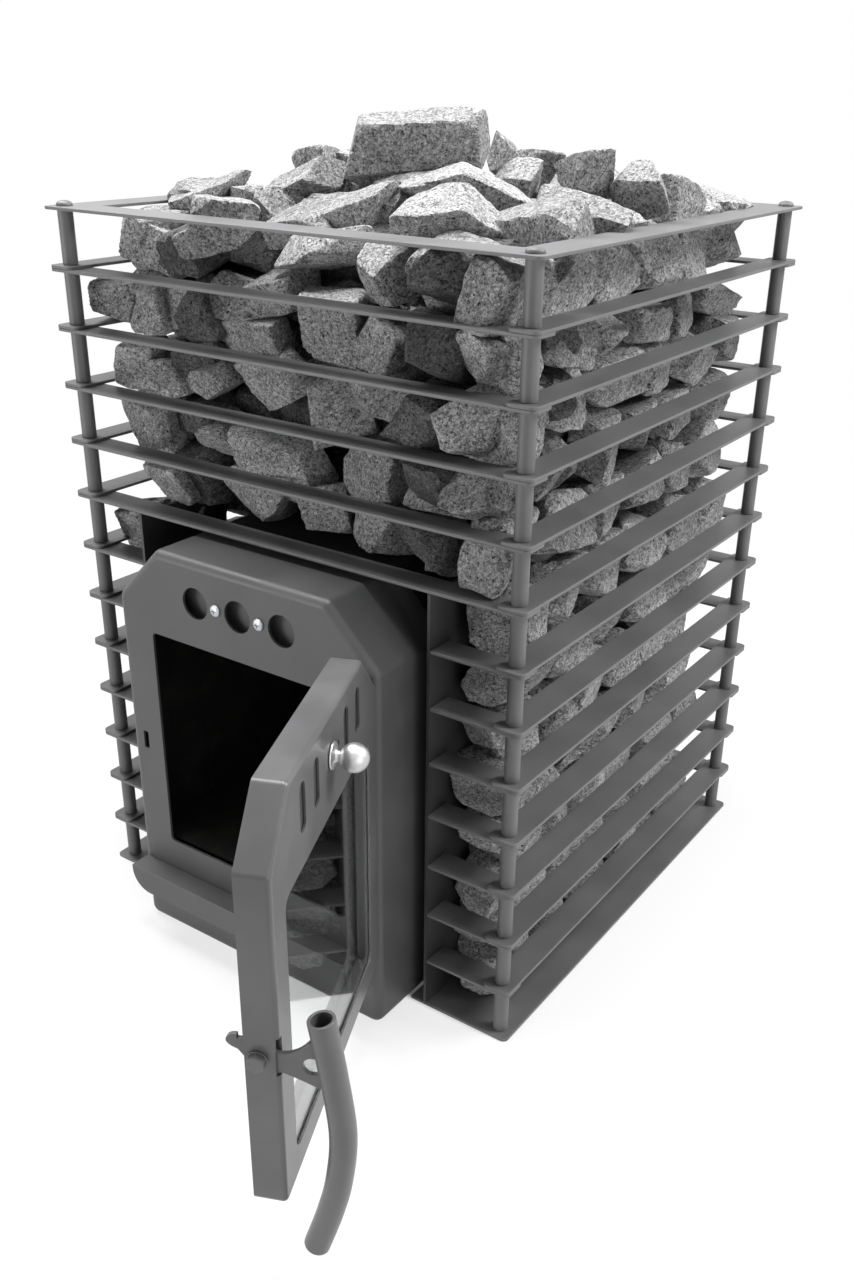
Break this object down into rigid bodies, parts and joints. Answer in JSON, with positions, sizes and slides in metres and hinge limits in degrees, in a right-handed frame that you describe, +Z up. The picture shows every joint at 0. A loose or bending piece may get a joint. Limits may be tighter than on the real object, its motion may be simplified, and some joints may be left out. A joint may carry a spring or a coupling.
{
  "type": "sauna heater stove",
  "caption": "Wood-fired sauna stove: steel firebox with a glazed side-hung door, inside a cage of flat bars on corner posts that is filled and heaped with granite.",
  "frame": {"origin": "centre of the base plate's underside, on the floor", "axes": "+Z up, -Y out of the firebox mouth, +X to the right of someone facing the door, the hinge side"},
  "size_m": [0.615, 0.8951, 0.851],
  "materials": {
    "cage_paint": "satin",
    "portal_paint": "satin",
    "door_paint": "satin",
    "sooted_steel": "matte",
    "zinc_plate": "satin",
    "turned_aluminium": "satin",
    "sealing_rope": "matte",
    "heat_glass": "gloss",
    "granite": "matte"
  },
  "bodies": {
    "stove": {"base_plate": "cage_paint", "top_frame": "cage_paint", "cheek_plate_left": "cage_paint", "cheek_plate_right": "cage_paint", "flue_spigot": "cage_paint", "cage_ring_01": "cage_paint", "cage_ring_02": "cage_paint", "cage_ring_03": "cage_paint", "cage_ring_04": "cage_paint", "cage_ring_05": "cage_paint", "cage_ring_06": "cage_paint", "cage_ring_07": "cage_paint", "cage_ring_08": "cage_paint", "cage_ring_09": "cage_paint", "cage_ring_10": "cage_paint", "cage_ring_11": "cage_paint", "cage_ring_12": "cage_paint", "corner_post_front_left": "cage_paint", "corner_post_front_right": "cage_paint", "corner_post_back_left": "cage_paint", "corner_post_back_right": "cage_paint", "portal_frame": "portal_paint", "ash_lip": "portal_paint", "hinge_lug_lower": "portal_paint", "hinge_lug_upper": "portal_paint", "air_deflector": "portal_paint", "firebox_shell": "sooted_steel", "hearth_plate": "sooted_steel", "smoke_baffle": "sooted_steel", "deflector_screw_left": "zinc_plate", "deflector_screw_right": "zinc_plate", "heap_stone_cap": "granite", "heap_stone_front_left": "granite", "heap_stone_left": "granite", "heap_stone_back_left": "granite", "heap_stone_middle": "granite", "heap_stone_long": "granite", "heap_stone_front": "granite", "heap_stone_front_right": "granite", "heap_stone_right": "granite", "heap_stone_back": "granite", "heap_stone_back_right": "granite", "heap_stone_far_right": "granite", "stone_bed_front": "granite", "stone_bed_right": "granite", "stone_bed_left": "granite", "stone_bed_back": "granite", "stone_bed_upper": "granite", "stone_bed_crown": "granite"},
    "door": {"door_shell": "door_paint", "window_glass": "heat_glass", "glass_retainer": "door_paint", "door_gasket": "sealing_rope", "latch_pivot_bolt": "door_paint", "hinge_pin_lower": "zinc_plate", "hinge_pin_upper": "zinc_plate"},
    "latch": {"latch_lever": "door_paint", "handle_tube": "door_paint"},
    "draught": {"draught_slider": "door_paint", "draught_knob": "turned_aluminium"}
  },
  "joints": [
    {"name": "door_hinge", "type": "hinge", "parent": "stove", "child": "door", "pos_m": [0.147, -0.34, 0.24], "axis": [0, 0, 1], "range_deg": [-113.6, 0]},
    {"name": "latch_pivot", "type": "hinge", "parent": "door", "child": "latch", "pos_m": [0.26659, -0.60499, 0.227], "axis": [0.4004, -0.9164, 0], "range_deg": [0, 22]},
    {"name": "draught_slide", "type": "slide", "parent": "door", "child": "draught", "axis": [-0.4004, 0.9164, 0], "range_m": [0, 0.0175]}
  ]
}
